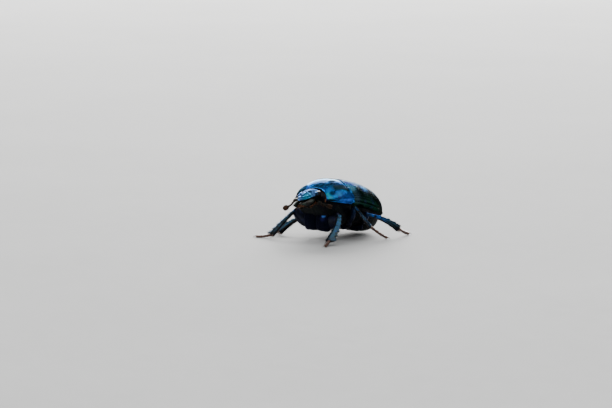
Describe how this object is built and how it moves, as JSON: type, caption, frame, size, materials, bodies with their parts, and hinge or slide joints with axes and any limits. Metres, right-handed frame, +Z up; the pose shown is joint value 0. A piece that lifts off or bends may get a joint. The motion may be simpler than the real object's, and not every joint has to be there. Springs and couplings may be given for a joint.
{
  "type": "dor beetle",
  "caption": "Dor beetle standing on six feet: a domed body under polished blue-black shell plates, toothed digging legs, and short feelers that end in brown clubs.",
  "frame": {"origin": "on the floor, in the middle of the footprint that the legs and body cover", "axes": "+Z up, the head towards -Y, the animal's left side towards +X"},
  "size_m": [0.0188, 0.0203, 0.0087],
  "materials": {
    "shell": "polished blue-black chitin with a violet and teal metal sheen",
    "wing_case": "polished black chitin with fine grooves and a green-blue sheen",
    "belly": "glossy violet-black chitin, pricked and thinly haired",
    "leg": "polished steel-blue chitin",
    "foot": "satin dark red-brown chitin",
    "feeler": "satin dark brown chitin",
    "club": "matt orange-brown, finely felted",
    "eye": "smooth glossy black",
    "mouthparts": "glossy brown-black chitin"
  },
  "bodies": {
    "root": {"pronotum": "shell", "scutellum": "shell", "elytron_left": "wing_case", "elytron_right": "wing_case", "prothorax": "belly", "thorax": "belly", "abdomen": "belly", "head": "shell", "eye_left": "eye", "eye_right": "eye", "labrum": "mouthparts", "mandible_left": "mouthparts", "palp_left": "feeler", "antenna_left": "feeler", "antenna_club_left": "club", "mandible_right": "mouthparts", "palp_right": "feeler", "antenna_right": "feeler", "antenna_club_right": "club", "coxa_front_left": "belly", "femur_front_left": "leg", "tibia_front_left": "leg", "tarsus_front_left": "foot", "coxa_front_right": "belly", "femur_front_right": "leg", "tibia_front_right": "leg", "tarsus_front_right": "foot", "coxa_middle_left": "belly", "femur_middle_left": "leg", "tibia_middle_left": "leg", "tarsus_middle_left": "foot", "coxa_middle_right": "belly", "femur_middle_right": "leg", "tibia_middle_right": "leg", "tarsus_middle_right": "foot", "coxa_hind_left": "belly", "femur_hind_left": "leg", "tibia_hind_left": "leg", "tarsus_hind_left": "foot", "coxa_hind_right": "belly", "femur_hind_right": "leg", "tibia_hind_right": "leg", "tarsus_hind_right": "foot"}
  },
  "joints": []
}
